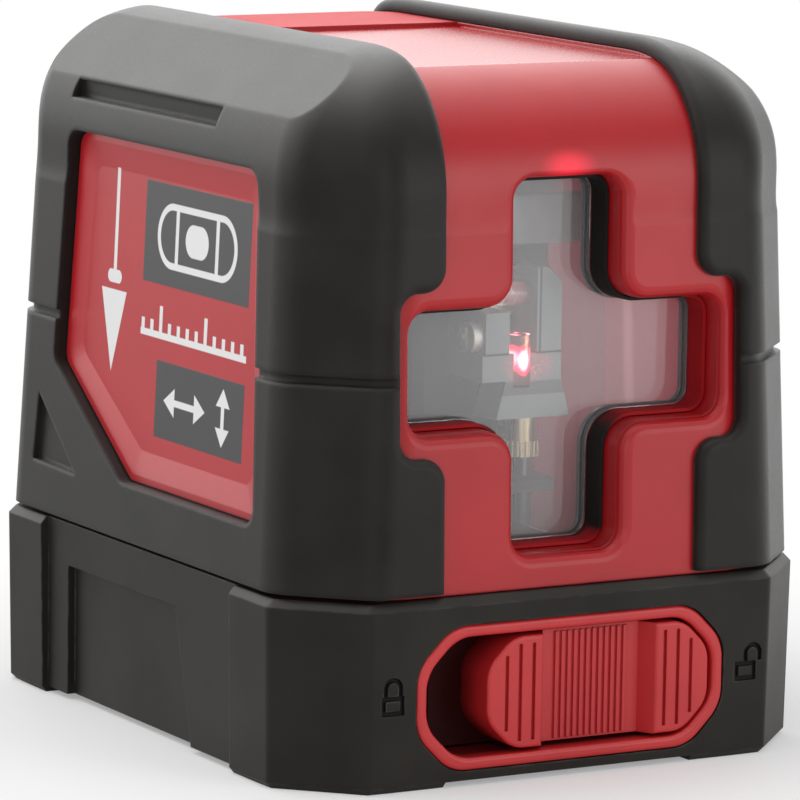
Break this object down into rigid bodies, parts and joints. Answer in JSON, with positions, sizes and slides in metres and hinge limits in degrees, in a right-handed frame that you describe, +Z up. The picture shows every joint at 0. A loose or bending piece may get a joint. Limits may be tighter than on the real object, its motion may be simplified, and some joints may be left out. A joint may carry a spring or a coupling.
{
  "type": "self-levelling cross-line laser",
  "caption": "Palm-size self-levelling line laser with a cross-shaped window, a damped pendulum on a gimbal, a sliding pendulum lock, rubber side covers and a tripod thread.",
  "frame": {"origin": "middle of the base's underside, on the surface that the feet stand on", "axes": "+Z up, the window and the lock slider face -Y, +X to the right seen from the front"},
  "size_m": [0.062, 0.075, 0.0732],
  "materials": {
    "red_plastic": "satin red moulded plastic",
    "black_rubber": "fine-grained black soft rubber",
    "label_print": null,
    "clear_pane": "clear polished pane",
    "dark_gasket": "matt black rubber",
    "black_plastic": "fine-grained black moulded plastic",
    "grey_plastic": "matt grey moulded plastic",
    "pale_metal": "bead-blasted die casting",
    "dark_casting": "dark painted die casting",
    "steel": "plated steel",
    "brass": "turned brass",
    "copper": "rolled copper",
    "bright_contact": "nickel plate",
    "cell_wrap": "printed film wrap",
    "green_board": "solder mask",
    "lens_glass": "polished rod lens"
  },
  "bodies": {
    "body": {"main_housing": "red_plastic", "left_rubber_cover": "black_rubber", "right_rubber_cover": "black_rubber", "left_label_plate": "label_print", "right_label_plate": "label_print", "window_pane": "clear_pane", "window_gasket": "dark_gasket", "window_seal": "dark_gasket", "base_shell": "black_plastic", "inner_deck": "grey_plastic", "base_screws": "steel", "switch_bezel": "red_plastic", "power_switch": "black_plastic", "door_hinge_pin": "steel", "left_cell": "cell_wrap", "right_cell": "cell_wrap", "battery_contacts": "bright_contact", "tripod_insert": "brass", "gimbal_yoke": "pale_metal", "yoke_screws": "steel", "pitch_bearings": "steel", "magnet_bracket": "steel", "bracket_screws": "steel", "damper_magnets": "bright_contact", "brake_posts": "steel", "driver_board": "green_board", "board_components": "black_plastic", "board_screws": "steel"},
    "slider": {"lock_slider": "red_plastic", "slider_carriage": "black_plastic", "carriage_screws": "steel", "switch_knob": "black_plastic"},
    "brake": {"brake_plate": "grey_plastic", "brake_pad": "dark_gasket"},
    "gimbal": {"gimbal_ring": "pale_metal", "pitch_pins": "steel", "roll_bearings": "steel"},
    "pendulum": {"roll_pin": "steel", "pendulum_body": "dark_casting", "horizontal_laser_barrel": "brass", "vertical_laser_barrel": "brass", "lens_holder": "grey_plastic", "holder_screw": "steel", "horizontal_line_lens": "lens_glass", "vertical_line_lens": "lens_glass", "balance_screw": "brass", "counterweight": "brass", "damper_plate": "copper"},
    "door": {"battery_door": "black_plastic", "door_contact_strip": "bright_contact"}
  },
  "joints": [
    {"name": "lock_slide", "type": "slide", "parent": "body", "child": "slider", "axis": [1, 0, 0], "range_m": [-0.0065, 0]},
    {"name": "brake_lift", "type": "slide", "parent": "body", "child": "brake", "axis": [0, 0, 1], "range_m": [0, 0.002]},
    {"name": "gimbal_pitch", "type": "hinge", "parent": "body", "child": "gimbal", "pos_m": [0, -0.008, 0.059], "axis": [1, 0, 0], "range_deg": [-4, 4]},
    {"name": "pendulum_roll", "type": "hinge", "parent": "gimbal", "child": "pendulum", "pos_m": [0, -0.008, 0.059], "axis": [0, 1, 0], "range_deg": [-4, 4]},
    {"name": "battery_door_hinge", "type": "hinge", "parent": "body", "child": "door", "pos_m": [0, 0.03625, 0.00365], "axis": [-1, 0, 0], "range_deg": [0, 90]}
  ],
  "couplings": [
    {"joint": "brake_lift", "follows": "lock_slide", "ratio": -0.30769}
  ]
}
